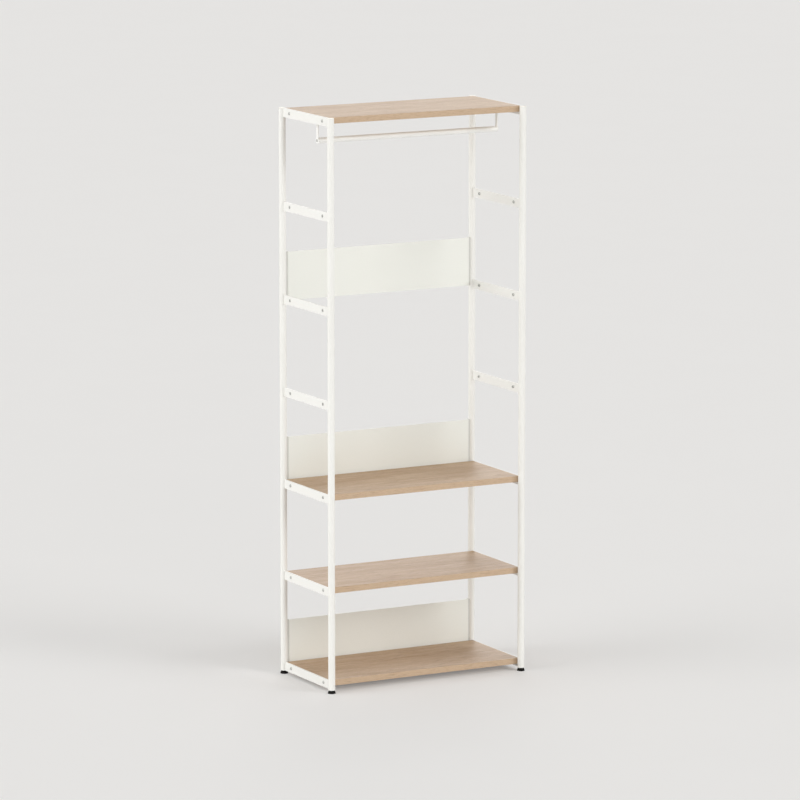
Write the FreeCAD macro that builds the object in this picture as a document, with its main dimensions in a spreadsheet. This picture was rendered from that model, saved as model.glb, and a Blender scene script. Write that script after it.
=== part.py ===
import FreeCAD, Part
import os

import Sketcher
from FreeCAD import Rotation, Vector

# Open clothes rack: two ladder sides of round tube and flat rungs, four boards held between them,
# three folded back panels and a hanging rail, on four screw-adjusted feet.
# Frame: the origin is on the floor below the middle, X runs to the right along the boards,
# the front faces -Y and Z points up. All sizes are in millimetres.

RUNG_COUNT = 7
SIDES = {"left": -1, "right": 1}
ENDS = {"front": -1, "back": 1}
SHELF_RUNGS = {"top_shelf": 1, "middle_shelf": 5, "lower_shelf": 6, "bottom_shelf": 7}
PANEL_RUNGS = {"upper": 3, "middle": 5, "lower": 7}
BARE_RUNGS = (2, 3, 4)

SIZES = [
    ("tube_diameter", 25, "outside of an upright"),
    ("tube_wall", 1.5, "wall of an upright"),
    ("ladder_spacing", 784, "left ladder plane to right ladder plane"),
    ("tube_spacing", 375, "front tube axis to back tube axis"),
    ("rung_pitch", 340, "one rung to the next"),
    ("rung_height", 33, "flat bar, upright measure"),
    ("rung_thickness", 4, "flat bar, thickness"),
    ("rung_hole_spacing", 255, "between the two holes of a rung"),
    ("rung_hole_drop", 16, "rung's top edge down to its holes"),
    ("rung_hole_diameter", 7, "clearance hole for a shelf screw"),
    ("insert_diameter", 9, "body of a threaded insert in a bare rung"),
    ("insert_length", 8, "threaded insert under its flange"),
    ("insert_bore", 6, "threaded insert's bore"),
    ("insert_flange_diameter", 11.5, "threaded insert's flange, on the rung's outer face"),
    ("insert_flange_height", 1, "threaded insert's flange"),
    ("insert_bulge_diameter", 11, "insert's upset bulge behind the rung"),
    ("insert_bulge_length", 3, "insert's upset bulge behind the rung"),
    ("seat_gap", 0.05, "left where a coped end seats on a tube"),
    ("press_gap", 0.05, "radial, round a plug or sleeve pressed in its bore"),
    ("thread_gap", 0.05, "radial, between a screw and its threaded bore"),
    ("cap_rim", 1.6, "thickness of the cap on top of an upright"),
    ("cap_bevel", 0.4, "bevel round the cap's top"),
    ("cap_spigot", 12, "length of the cap's plug in the tube"),
    ("board_thickness", 22, "boards"),
    ("board_side_gap", 3, "between a board's long edge and the tubes' inner sides"),
    ("board_edge_radius", 0.8, "eased long edges of a board"),
    ("sleeve_diameter", 9, "threaded sleeve in a board's end"),
    ("sleeve_length", 25, "threaded sleeve, length"),
    ("sleeve_run_out", 2, "board hole beyond the sleeve"),
    ("shelf_screw_diameter", 6, "screw through a rung into a board"),
    ("shelf_screw_length", 24, "under the head"),
    ("shelf_screw_head_diameter", 12, "low button head"),
    ("shelf_screw_head_height", 2.8, "low button head"),
    ("panel_sheet", 1.5, "sheet of a back panel"),
    ("panel_height", 178, "back panels"),
    ("panel_drop", 22, "rung's top edge down to the panel's lower edge"),
    ("panel_setback", 8.5, "panel's face in front of the back tube axis"),
    ("panel_end_gap", 3.5, "between a panel's end and the tube"),
    ("panel_flange", 18, "depth of a panel's folded ends"),
    ("panel_bend_radius", 3, "outside of a panel's fold"),
    ("panel_hole_inset", 34, "panel's edge to its screw holes"),
    ("panel_hole_diameter", 5.5, "clearance hole for a panel screw"),
    ("panel_screw_diameter", 5, "screw through a panel's end into the tube wall"),
    ("panel_screw_length", 12, "under the head"),
    ("panel_screw_head_diameter", 9.5, "pan head"),
    ("panel_screw_head_height", 3, "pan head"),
    ("spacer_width", 14, "strip between a panel's end and the tube, front to back"),
    ("spacer_depth", 4, "how far the strip's saddle reaches round the tube"),
    ("rail_diameter", 20, "outside of the hanging rail"),
    ("rail_wall", 1.5, "wall of the hanging rail"),
    ("rail_drop", 97, "top of the rack down to the rail's axis"),
    ("rail_setback", 149, "front tube axis back to the rail's axis"),
    ("bracket_end_gap", 22, "rung to the rail bracket's outer face"),
    ("bracket_width", 12, "strip of a rail bracket"),
    ("bracket_thickness", 3, "strip of a rail bracket"),
    ("bracket_flange", 34, "bracket's top leg, along the board"),
    ("bracket_bend_radius", 4.5, "outside of the bracket's bend"),
    ("bracket_eye_diameter", 21, "round lower end of a bracket"),
    ("bracket_hole_reach", 20, "bracket's outer face to the middle of its wood screws"),
    ("bracket_hole_spacing", 14, "between a bracket's two wood screws"),
    ("bracket_hole_diameter", 4.4, "clearance hole for a wood screw"),
    ("wood_screw_diameter", 4, "screw up into the top shelf"),
    ("wood_screw_length", 16, "under the head"),
    ("wood_screw_head_diameter", 7.5, "pan head"),
    ("wood_screw_head_height", 2.4, "pan head"),
    ("rail_plug_length", 20, "threaded plug in the rail's end"),
    ("rail_hole_diameter", 6.5, "hole in a bracket's eye"),
    ("rail_screw_diameter", 6, "screw through a bracket's eye into the rail's plug"),
    ("rail_screw_length", 18, "under the head"),
    ("rail_screw_head_diameter", 10, "button head"),
    ("rail_screw_head_height", 2.5, "button head"),
    ("socket_depth", 1.4, "hexagon socket in a screw's head"),
    ("pad_height", 11.7, "levelling foot's pad"),
    ("pad_gap", 0.3, "between a pad and its upright, screwed right in"),
    ("pad_diameter", 28, "pad on the floor"),
    ("pad_top_diameter", 21.5, "pad at its top"),
    ("pad_rim", 3, "straight rim at the pad's foot"),
    ("pad_floor", 4, "pad's material under its stem"),
    ("stem_diameter", 8, "threaded stem of a levelling foot"),
    ("stem_length", 40, "threaded stem, length"),
    ("stem_end_gap", 0.3, "stem's end to the bottom of the pad's bore"),
    ("stem_run_gap", 0.1, "radial, stem turning in the pad"),
    ("foot_insert_length", 20, "threaded plug in an upright's lower end"),
]

# Expressions that several pieces share, written in the sheet's names.
FOOT_RISE = "(dims.pad_height + dims.pad_gap)"
UPRIGHT_LENGTH = "(dims.rung_pitch * %d + dims.rung_height)" % (RUNG_COUNT - 1)
RACK_HEIGHT = "(%s + %s)" % (FOOT_RISE, UPRIGHT_LENGTH)
TUBE_BORE = "(dims.tube_diameter - 2 * dims.tube_wall)"
RUNG_FACE = "(dims.ladder_spacing / 2 - dims.rung_thickness / 2)"
BOARD_DEPTH = "(dims.tube_spacing - dims.tube_diameter - 2 * dims.board_side_gap)"
BRACKET_FACE = "(%s - dims.bracket_end_gap)" % RUNG_FACE
BRACKET_LEG = "(dims.rail_drop - dims.board_thickness)"
RAIL_Y = "(dims.rail_setback - dims.tube_spacing / 2)"
RAIL_Z = "(%s - dims.rail_drop)" % RACK_HEIGHT
RAIL_BORE = "(dims.rail_diameter - 2 * dims.rail_wall)"
PANEL_END = "(dims.ladder_spacing / 2 - dims.tube_diameter / 2 - dims.panel_end_gap)"
PANEL_HOLES = "(dims.panel_height - 2 * dims.panel_hole_inset)"

# Turns that point an upright piece's top along another axis.
TURNS = {
    "up": Rotation(),
    "down": Rotation(Vector(1, 0, 0), 180),
    "left": Rotation(Vector(0, 1, 0), -90),
    "right": Rotation(Vector(0, 1, 0), 90),
    "about": Rotation(Vector(0, 0, 1), 180),
}
OUTWARD = {"left": "left", "right": "right"}
INWARD = {"left": "right", "right": "left"}

doc = FreeCAD.newDocument("clothes_rack")
nodes = []


def rung_top(number):
    """Height of a rung's top edge, with rung 1 at the top of the rack."""
    return "(%s - dims.rung_pitch * %d)" % (RACK_HEIGHT, number - 1)


def hole_height(number):
    """Height of a rung's holes."""
    return "(%s - dims.rung_hole_drop)" % rung_top(number)


def panel_middle(number):
    """Height of a back panel's middle."""
    return "(%s - dims.panel_drop + dims.panel_height / 2)" % rung_top(number)


def add_sheet():
    """The driving sizes, one cell each."""
    sheet = doc.addObject("Spreadsheet::Sheet", "dims")
    for row, (alias, value, note) in enumerate(SIZES, start=1):
        sheet.set("A%d" % row, alias)
        sheet.set("B%d" % row, str(value))
        sheet.set("C%d" % row, note)
        sheet.setAlias("B%d" % row, alias)
    doc.recompute()


def place(piece, x="0", y="0", z="0", turn="up"):
    """Turn a piece and bind its position to expressions."""
    piece.Placement = FreeCAD.Placement(Vector(), TURNS[turn])
    for axis, text in zip("xyz", (x, y, z)):
        piece.setExpression("Placement.Base." + axis, text)
    return piece


def keep(piece, label):
    """Name a piece as one of the rack's nodes."""
    piece.Label = label
    nodes.append(piece)
    return piece


# Sketches and features of the bodies.

def new_body(name):
    return doc.addObject("PartDesign::Body", name + "_body")


def new_sketch(body, name, role, x="0", y="0", z="0"):
    """An empty sketch on one of the body's origin planes, shifted by expressions."""
    sketch = body.newObject("Sketcher::SketchObject", name)
    plane = [feature for feature in body.Origin.OriginFeatures if feature.Role == role][0]
    sketch.AttachmentSupport = [(plane, "")]
    sketch.MapMode = "FlatFace"
    for axis, text in zip("xyz", (x, y, z)):
        sketch.setExpression("AttachmentOffset.Base." + axis, text)
    return sketch


def bind(sketch, name, constraint, expression):
    """Add a named constraint whose value follows the sheet."""
    index = sketch.addConstraint(constraint)
    sketch.renameConstraint(index, name)
    sketch.setExpression("Constraints." + name, expression)


def draw_rectangle(sketch, width, depth):
    """A rectangle centred on the sketch's origin."""
    corners = [Vector(-9, -9), Vector(9, -9), Vector(9, 9), Vector(-9, 9)]
    for start in range(4):
        sketch.addGeometry(Part.LineSegment(corners[start], corners[(start + 1) % 4]), False)
    for line in range(4):
        sketch.addConstraint(Sketcher.Constraint("Coincident", line, 2, (line + 1) % 4, 1))
        direction = "Horizontal" if line % 2 == 0 else "Vertical"
        sketch.addConstraint(Sketcher.Constraint(direction, line))
    sketch.addConstraint(Sketcher.Constraint("Symmetric", 0, 1, 2, 1, -1, 1))
    bind(sketch, "width", Sketcher.Constraint("DistanceX", 0, 1, 0, 2, 18), width)
    bind(sketch, "depth", Sketcher.Constraint("DistanceY", 1, 1, 1, 2, 18), depth)


def draw_circle(sketch, name, diameter):
    """A circle centred on the sketch's origin."""
    circle = sketch.addGeometry(Part.Circle(Vector(), Vector(0, 0, 1), 9), False)
    sketch.addConstraint(Sketcher.Constraint("Coincident", circle, 3, -1, 1))
    bind(sketch, name, Sketcher.Constraint("Diameter", circle, 18), diameter)


def draw_pair(sketch, diameter, spacing, upright=False):
    """Two equal circles, level or one above the other, about the sketch's origin."""
    reach = Vector(0, 50) if upright else Vector(50, 0)
    first = sketch.addGeometry(Part.Circle(-reach, Vector(0, 0, 1), 3), False)
    second = sketch.addGeometry(Part.Circle(reach, Vector(0, 0, 1), 3), False)
    direction = "Vertical" if upright else "Horizontal"
    distance = "DistanceY" if upright else "DistanceX"
    sketch.addConstraint(Sketcher.Constraint("Symmetric", first, 3, second, 3, -1, 1))
    sketch.addConstraint(Sketcher.Constraint(direction, first, 3, second, 3))
    sketch.addConstraint(Sketcher.Constraint("Equal", first, second))
    bind(sketch, "diameter", Sketcher.Constraint("Diameter", first, 6), diameter)
    bind(sketch, "spacing", Sketcher.Constraint(distance, first, 3, second, 3, 100), spacing)


def add_pad(body, sketch, length, symmetric=False):
    pad = body.newObject("PartDesign::Pad", "Pad")
    pad.Profile = sketch
    pad.SideType = "Symmetric" if symmetric else "One side"
    pad.setExpression("Length", length)
    doc.recompute()
    return pad


def cut_pocket(body, sketch, length, symmetric=False, forward=False):
    """Cut a sketch out of the body, against its plane's direction unless forward is set."""
    before = body.Shape.Volume
    pocket = body.newObject("PartDesign::Pocket", "Pocket")
    pocket.Profile = sketch
    pocket.SideType = "Symmetric" if symmetric else "One side"
    pocket.Reversed = forward
    pocket.setExpression("Length", length)
    doc.recompute()
    if body.Shape.Volume >= before:
        raise RuntimeError("%s cuts nothing" % sketch.Label)
    return pocket


def round_edges(body, direction, wanted, radius):
    """Round the straight edges along a direction whose middle the test wanted accepts."""
    base = body.Tip
    names = []
    for index, edge in enumerate(base.Shape.Edges, start=1):
        if edge.Curve.TypeId != "Part::GeomLine":
            continue
        along = abs(edge.Curve.Direction.dot(direction)) > 0.999
        if along and wanted(edge.CenterOfMass):
            names.append("Edge%d" % index)
    fillet = body.newObject("PartDesign::Fillet", "Fillet")
    fillet.Base = (base, names)
    fillet.setExpression("Radius", radius)
    doc.recompute()
    return fillet


# Plain solids.

def add_cylinder(diameter, length, x="0", y="0", z="0", turn="up"):
    cylinder = doc.addObject("Part::Cylinder", "Cylinder")
    cylinder.setExpression("Radius", "(%s) / 2" % diameter)
    cylinder.setExpression("Height", length)
    return place(cylinder, x, y, z, turn)


def add_cone(low_diameter, high_diameter, length, z="0"):
    cone = doc.addObject("Part::Cone", "Cone")
    cone.setExpression("Radius1", "(%s) / 2" % low_diameter)
    cone.setExpression("Radius2", "(%s) / 2" % high_diameter)
    cone.setExpression("Height", length)
    return place(cone, z=z)


def add_cut(base, tool):
    cut = doc.addObject("Part::Cut", "Cut")
    cut.Base = base
    cut.Tool = tool
    return cut


def add_fuse(pieces):
    fuse = doc.addObject("Part::MultiFuse", "Fuse")
    fuse.Shapes = pieces
    return fuse


def add_group(pieces, label):
    """Like small pieces that share one node, each still a solid of its own."""
    group = doc.addObject("Part::Compound", label + "_group")
    group.Links = pieces
    return keep(group, label)


def add_screw(kind, x, y, z, turn):
    """A screw with a domed head and a hexagon socket, seated under its head at the given place."""
    head = "dims.%s_head_diameter" % kind
    height = "dims.%s_head_height" % kind
    length = "dims.%s_length" % kind
    dome = add_cone(head, head + " * 2 / 3", height)
    shank = add_cylinder("dims.%s_diameter" % kind, length, z="-" + length)
    socket = doc.addObject("Part::Prism", "Socket")
    socket.Polygon = 6
    socket.setExpression("Circumradius", head + " / 5")
    socket.setExpression("Height", height)
    place(socket, z="%s - dims.socket_depth" % height)
    return place(add_cut(add_fuse([dome, shank]), socket), x, y, z, turn)


# Ladder sides.

def build_upright(side, end):
    """One round upright, with holes for the panel screws where it stands at the back."""
    name = "%s_%s_upright" % (side, end)
    body = new_body(name)
    ring = new_sketch(body, "Ring", "XY_Plane")
    draw_circle(ring, "outside", "dims.tube_diameter")
    draw_circle(ring, "bore", TUBE_BORE)
    add_pad(body, ring, "%s - dims.cap_rim" % UPRIGHT_LENGTH)
    if end == "back":
        for panel, number in PANEL_RUNGS.items():
            height = "%s - %s" % (panel_middle(number), FOOT_RISE)
            holes = new_sketch(body, "Holes_" + panel, "YZ_Plane", y=height)
            draw_pair(holes, "dims.panel_screw_diameter + 2 * dims.thread_gap", PANEL_HOLES, upright=True)
            cut_pocket(body, holes, "dims.tube_diameter / 2", forward=(side == "left"))
    place(body, tube_x(side), tube_y(end), FOOT_RISE)
    keep(body, name)


def build_cap(side, end):
    """The flush cap on top of an upright."""
    rim = add_cylinder("dims.tube_diameter", "dims.cap_rim - dims.cap_bevel")
    bevel = add_cone("dims.tube_diameter", "dims.tube_diameter - 2 * dims.cap_bevel", "dims.cap_bevel",
                     "dims.cap_rim - dims.cap_bevel")
    spigot = add_cylinder("%s - 2 * dims.press_gap" % TUBE_BORE, "dims.cap_spigot", z="-dims.cap_spigot")
    cap = add_fuse([rim, bevel, spigot])
    place(cap, tube_x(side), tube_y(end), "%s - dims.cap_rim" % RACK_HEIGHT)
    keep(cap, "%s_%s_cap" % (side, end))


def build_rung(side, number):
    """One flat rung with its two holes, coped to the tubes at both ends."""
    name = "%s_rung_%d" % (side, number)
    body = new_body(name)
    face = new_sketch(body, "Face", "YZ_Plane")
    draw_rectangle(face, "dims.tube_spacing - dims.tube_diameter + dims.rung_thickness", "dims.rung_height")
    add_pad(body, face, "dims.rung_thickness", symmetric=True)
    cope = new_sketch(body, "Cope", "XY_Plane")
    draw_tube_ends(cope)
    cut_pocket(body, cope, "dims.rung_height * 2", symmetric=True)
    holes = new_sketch(body, "Holes", "YZ_Plane", y="dims.rung_height / 2 - dims.rung_hole_drop")
    bare = number in BARE_RUNGS
    diameter = "dims.insert_diameter + 2 * dims.press_gap" if bare else "dims.rung_hole_diameter"
    draw_pair(holes, diameter, "dims.rung_hole_spacing")
    cut_pocket(body, holes, "dims.rung_thickness * 2", symmetric=True)
    place(body, tube_x(side), "0", "%s - dims.rung_height / 2" % rung_top(number))
    keep(body, name)


def build_inserts(name):
    """Threaded inserts riveted into the holes of the rungs that carry no board."""
    inserts = []
    for side, sign in SIDES.items():
        face = "%d * (%s + dims.rung_thickness)" % (sign, RUNG_FACE)
        for number in BARE_RUNGS:
            for end in ENDS.values():
                flange = add_cylinder("dims.insert_flange_diameter", "dims.insert_flange_height")
                barrel = add_cylinder("dims.insert_diameter", "dims.insert_length", z="-dims.insert_length")
                bulge = add_cylinder("dims.insert_bulge_diameter", "dims.insert_bulge_length",
                                     z="-dims.rung_thickness - dims.insert_bulge_length")
                bore = add_cylinder("dims.insert_bore", "dims.insert_length + dims.insert_flange_height",
                                    z="-dims.insert_length")
                y = "%d * dims.rung_hole_spacing / 2" % end
                insert = add_cut(add_fuse([flange, barrel, bulge]), bore)
                inserts.append(place(insert, face, y, hole_height(number), OUTWARD[side]))
    add_group(inserts, name)


def draw_tube_ends(sketch):
    """The two tubes' outlines, seen from above, as the shape of a rung's coped ends."""
    draw_pair(sketch, "dims.tube_diameter + 2 * dims.seat_gap", "dims.tube_spacing", upright=True)


def tube_x(side):
    return "%d * dims.ladder_spacing / 2" % SIDES[side]


def tube_y(end):
    return "%d * dims.tube_spacing / 2" % ENDS[end]


# Boards and what fastens them.

def build_board(name, number):
    """One plain board between the ladders, drilled for its sleeves."""
    body = new_body(name)
    length = "2 * %s" % RUNG_FACE
    outline = new_sketch(body, "Outline", "XY_Plane")
    draw_rectangle(outline, length, BOARD_DEPTH)
    add_pad(body, outline, "dims.board_thickness", symmetric=True)
    round_edges(body, Vector(1, 0, 0), lambda middle: True, "dims.board_edge_radius")
    for side, sign in SIDES.items():
        holes = new_sketch(body, "Holes_" + side, "YZ_Plane",
                           y="dims.board_thickness / 2 - dims.rung_hole_drop", z="%d * %s" % (sign, RUNG_FACE))
        draw_pair(holes, "dims.sleeve_diameter + 2 * dims.press_gap", "dims.rung_hole_spacing")
        cut_pocket(body, holes, "dims.sleeve_length + dims.sleeve_run_out", forward=(side == "left"))
        if number == 1:
            pilots = new_sketch(body, "Pilots_" + side, "XY_Plane",
                                x="%d * (%s - dims.bracket_hole_reach)" % (sign, BRACKET_FACE),
                                y=RAIL_Y, z="-dims.board_thickness / 2")
            draw_pair(pilots, "dims.wood_screw_diameter + 2 * dims.thread_gap", "dims.bracket_hole_spacing")
            cut_pocket(body, pilots, "dims.wood_screw_length", forward=True)
    place(body, z="%s - dims.board_thickness / 2" % rung_top(number))
    keep(body, name)


def build_board_fixings(name, number):
    """Four threaded sleeves in the board's ends and four screws through the rungs."""
    sleeves = []
    screws = []
    for side, sign in SIDES.items():
        for end in ENDS.values():
            y = "%d * dims.rung_hole_spacing / 2" % end
            sleeve = add_cut(add_cylinder("dims.sleeve_diameter", "dims.sleeve_length"),
                             add_cylinder("dims.shelf_screw_diameter + 2 * dims.thread_gap", "dims.sleeve_length"))
            inner = "%d * %s" % (sign, RUNG_FACE)
            outer = "%d * (%s + dims.rung_thickness)" % (sign, RUNG_FACE)
            sleeves.append(place(sleeve, inner, y, hole_height(number), INWARD[side]))
            screws.append(add_screw("shelf_screw", outer, y, hole_height(number), OUTWARD[side]))
    add_group(sleeves, name + "_sleeves")
    add_group(screws, name + "_screws")


# Back panels and what fastens them.

def build_panel(name, number):
    """One sheet panel with both ends folded back beside the tubes."""
    body = new_body(name)
    width = "2 * %s" % PANEL_END
    outside = new_sketch(body, "Outside", "XY_Plane", y="dims.panel_flange / 2")
    draw_rectangle(outside, width, "dims.panel_flange")
    add_pad(body, outside, "dims.panel_height", symmetric=True)
    inside = new_sketch(body, "Inside", "XY_Plane", y="dims.panel_sheet + dims.panel_flange / 2")
    draw_rectangle(inside, "%s - 2 * dims.panel_sheet" % width, "dims.panel_flange")
    cut_pocket(body, inside, "dims.panel_height * 2", symmetric=True)
    upright = Vector(0, 0, 1)
    sheet = dims.panel_sheet
    round_edges(body, upright, lambda middle: abs(middle.y) < sheet / 2, "dims.panel_bend_radius")
    round_edges(body, upright, lambda middle: abs(middle.y - sheet) < sheet / 2,
                "dims.panel_bend_radius - dims.panel_sheet")
    holes = new_sketch(body, "Holes", "YZ_Plane", x="dims.panel_setback")
    draw_pair(holes, "dims.panel_hole_diameter", PANEL_HOLES, upright=True)
    cut_pocket(body, holes, "dims.ladder_spacing", symmetric=True)
    place(body, y="dims.tube_spacing / 2 - dims.panel_setback", z=panel_middle(number))
    keep(body, name)


def panel_hole_height(number, end):
    """Height of one hole of a panel's folded end."""
    return "%s + %d * %s / 2" % (panel_middle(number), end, PANEL_HOLES)


def build_panel_screws(name, number):
    screws = []
    for side, sign in SIDES.items():
        for end in ENDS.values():
            seat = "%d * (%s - dims.panel_sheet)" % (sign, PANEL_END)
            screws.append(add_screw("panel_screw", seat, tube_y("back"), panel_hole_height(number, end),
                                    INWARD[side]))
    add_group(screws, name)


def build_spacers(name):
    """Soft strips between the panels' ends and the tubes, each with a saddle that fits the tube."""
    strips = []
    reach = "(dims.panel_end_gap + dims.spacer_depth)"
    for number in PANEL_RUNGS.values():
        low = "%s - dims.panel_height / 2" % panel_middle(number)
        for side, sign in SIDES.items():
            blank = doc.addObject("Part::Box", "Strip")
            blank.setExpression("Length", reach)
            blank.setExpression("Width", "dims.spacer_width")
            blank.setExpression("Height", "dims.panel_height")
            inner = PANEL_END if side == "right" else "-%s - %s" % (PANEL_END, reach)
            place(blank, inner, "%s - dims.spacer_width / 2" % tube_y("back"), low)
            tube = add_cylinder("dims.tube_diameter + 2 * dims.seat_gap", "dims.panel_height * 2",
                                tube_x(side), tube_y("back"), "%s - dims.panel_height / 2" % low)
            strip = add_cut(blank, tube)
            for end in ENDS.values():
                hole = add_cylinder("dims.panel_hole_diameter", reach, "%d * %s" % (sign, PANEL_END),
                                    tube_y("back"), panel_hole_height(number, end), OUTWARD[side])
                strip = add_cut(strip, hole)
            strips.append(strip)
    add_group(strips, name)


# Hanging rail and its brackets.

def build_rail():
    """The round rail between the brackets."""
    body = new_body("hanging_rail")
    ring = new_sketch(body, "Ring", "YZ_Plane")
    draw_circle(ring, "outside", "dims.rail_diameter")
    draw_circle(ring, "bore", RAIL_BORE)
    add_pad(body, ring, "2 * (%s - dims.bracket_thickness)" % BRACKET_FACE, symmetric=True)
    place(body, "0", RAIL_Y, RAIL_Z)
    keep(body, "hanging_rail")


def build_bracket(side):
    """A strip bent under the top board, hanging down to a round eye that carries the rail's end."""
    name = side + "_rail_bracket"
    body = new_body(name)
    outside = new_sketch(body, "Outside", "XZ_Plane", x="dims.bracket_flange / 2", y="-%s / 2" % BRACKET_LEG)
    draw_rectangle(outside, "dims.bracket_flange", BRACKET_LEG)
    add_pad(body, outside, "dims.bracket_width", symmetric=True)
    inside = new_sketch(body, "Inside", "XZ_Plane", x="dims.bracket_thickness + dims.bracket_flange / 2",
                        y="-dims.bracket_thickness - %s / 2" % BRACKET_LEG)
    draw_rectangle(inside, "dims.bracket_flange", BRACKET_LEG)
    cut_pocket(body, inside, "dims.bracket_width * 2", symmetric=True)
    across = Vector(0, 1, 0)
    strip = dims.bracket_thickness
    round_edges(body, across, lambda middle: middle.Length < strip / 2, "dims.bracket_bend_radius")
    round_edges(body, across, lambda middle: (middle - Vector(strip, 0, -strip)).Length < strip / 2,
                "dims.bracket_bend_radius - dims.bracket_thickness")
    eye = new_sketch(body, "Eye", "YZ_Plane", y="-" + BRACKET_LEG)
    draw_circle(eye, "eye", "dims.bracket_eye_diameter")
    add_pad(body, eye, "dims.bracket_thickness")
    bore = new_sketch(body, "Bore", "YZ_Plane", y="-" + BRACKET_LEG)
    draw_circle(bore, "bore", "dims.rail_hole_diameter")
    cut_pocket(body, bore, "dims.bracket_thickness * 4", symmetric=True)
    holes = new_sketch(body, "Holes", "XY_Plane", x="dims.bracket_hole_reach")
    draw_pair(holes, "dims.bracket_hole_diameter", "dims.bracket_hole_spacing")
    cut_pocket(body, holes, "dims.bracket_thickness * 2", symmetric=True)
    place(body, "%d * %s" % (SIDES[side], BRACKET_FACE), RAIL_Y, "%s - dims.board_thickness" % RACK_HEIGHT,
          "up" if side == "left" else "about")
    keep(body, name)


def build_rail_fixings():
    """Threaded plugs in the rail's ends, their screws, and the brackets' wood screws."""
    plugs = []
    end_screws = []
    wood_screws = []
    for side, sign in SIDES.items():
        rail_end = "%d * (%s - dims.bracket_thickness)" % (sign, BRACKET_FACE)
        plug = add_cut(add_cylinder("%s - 2 * dims.press_gap" % RAIL_BORE, "dims.rail_plug_length"),
                       add_cylinder("dims.rail_screw_diameter + 2 * dims.thread_gap", "dims.rail_plug_length"))
        plugs.append(place(plug, rail_end, RAIL_Y, RAIL_Z, INWARD[side]))
        face = "%d * %s" % (sign, BRACKET_FACE)
        end_screws.append(add_screw("rail_screw", face, RAIL_Y, RAIL_Z, OUTWARD[side]))
        for step in (-1, 1):
            x = "%d * (%s - dims.bracket_hole_reach + %d * dims.bracket_hole_spacing / 2)" % (
                sign, BRACKET_FACE, step)
            under = "%s - dims.board_thickness - dims.bracket_thickness" % RACK_HEIGHT
            wood_screws.append(add_screw("wood_screw", x, RAIL_Y, under, "down"))
    add_group(plugs, "rail_end_plugs")
    add_group(end_screws, "rail_end_screws")
    add_group(wood_screws, "bracket_wood_screws")


# Levelling feet.

def build_foot(side, end):
    """A threaded plug in the upright, the stem that turns in it, and the pad on the floor."""
    corner = "%s_%s_" % (side, end)
    insert = add_cut(add_cylinder("%s - 2 * dims.press_gap" % TUBE_BORE, "dims.foot_insert_length"),
                     add_cylinder("dims.stem_diameter + 2 * dims.thread_gap", "dims.foot_insert_length"))
    keep(place(insert, tube_x(side), tube_y(end), FOOT_RISE), corner + "foot_insert")
    stem = add_cylinder("dims.stem_diameter", "dims.stem_length", tube_x(side), tube_y(end),
                        "dims.pad_floor + dims.stem_end_gap")
    keep(stem, corner + "foot_stem")
    rim = add_cylinder("dims.pad_diameter", "dims.pad_rim")
    taper = add_cone("dims.pad_diameter", "dims.pad_top_diameter", "dims.pad_height - dims.pad_rim",
                     "dims.pad_rim")
    bore = add_cylinder("dims.stem_diameter + 2 * dims.stem_run_gap", "dims.pad_height", z="dims.pad_floor")
    pad = add_cut(add_fuse([rim, taper]), bore)
    keep(place(pad, tube_x(side), tube_y(end)), corner + "foot_pad")


def build_rack():
    for side in SIDES:
        for end in ENDS:
            build_upright(side, end)
            build_cap(side, end)
            build_foot(side, end)
        for number in range(1, RUNG_COUNT + 1):
            build_rung(side, number)
    build_inserts("rung_inserts")
    for name, number in SHELF_RUNGS.items():
        build_board(name, number)
        build_board_fixings(name, number)
    for place_name, number in PANEL_RUNGS.items():
        build_panel(place_name + "_back_panel", number)
        build_panel_screws(place_name + "_panel_screws", number)
    build_spacers("panel_spacers")
    build_rail()
    for side in SIDES:
        build_bracket(side)
    build_rail_fixings()


def check_document():
    """Every object is up to date and every node is a valid solid or group of solids."""
    for item in doc.Objects:
        if "Invalid" in item.State or "Error" in item.State:
            raise RuntimeError("%s failed: %s" % (item.Label, item.State))
    for node in nodes:
        shape = node.Shape
        if shape.isNull() or not shape.isValid() or not shape.Solids:
            raise RuntimeError("%s has no valid solid" % node.Label)


def write_nodes():
    os.makedirs("parts", exist_ok=True)
    for node in nodes:
        node.Shape.exportStep(os.path.join("parts", node.Label + ".step"))
        print("%-24s %2d solids %12.1f mm3" % (node.Label, len(node.Shape.Solids), node.Shape.Volume))
    print(len(nodes), "nodes")


add_sheet()
dims = doc.getObject("dims")
build_rack()
doc.recompute()
check_document()
write_nodes()
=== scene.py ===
import math
from collections import namedtuple

import bmesh
import bpy
from bpy.props import FloatProperty, FloatVectorProperty, IntProperty, PointerProperty
from mathutils import Matrix, Vector


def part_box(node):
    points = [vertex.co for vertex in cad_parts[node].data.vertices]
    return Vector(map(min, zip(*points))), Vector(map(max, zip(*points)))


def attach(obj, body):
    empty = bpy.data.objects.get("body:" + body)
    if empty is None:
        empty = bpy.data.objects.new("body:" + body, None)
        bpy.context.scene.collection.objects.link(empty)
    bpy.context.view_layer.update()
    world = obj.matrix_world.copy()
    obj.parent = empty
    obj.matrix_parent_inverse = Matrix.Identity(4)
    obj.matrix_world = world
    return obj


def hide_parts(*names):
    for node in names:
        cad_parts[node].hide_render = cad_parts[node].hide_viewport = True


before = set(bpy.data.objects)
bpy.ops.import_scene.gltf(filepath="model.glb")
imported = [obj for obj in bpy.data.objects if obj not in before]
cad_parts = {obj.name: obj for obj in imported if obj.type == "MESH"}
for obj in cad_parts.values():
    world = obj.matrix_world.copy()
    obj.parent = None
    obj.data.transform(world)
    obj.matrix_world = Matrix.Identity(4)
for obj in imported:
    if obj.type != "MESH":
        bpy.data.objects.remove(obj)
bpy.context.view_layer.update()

bl_info = {
    "name": "Clothes Rack Looks",
    "version": (1, 0, 0),
    "blender": (4, 5, 0),
    "location": "3D View > Sidebar > Rack",
    "description": "Finishes, small fittings and studio of an open clothes rack with oak boards",
    "category": "Object",
}

MM = 0.001
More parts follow.
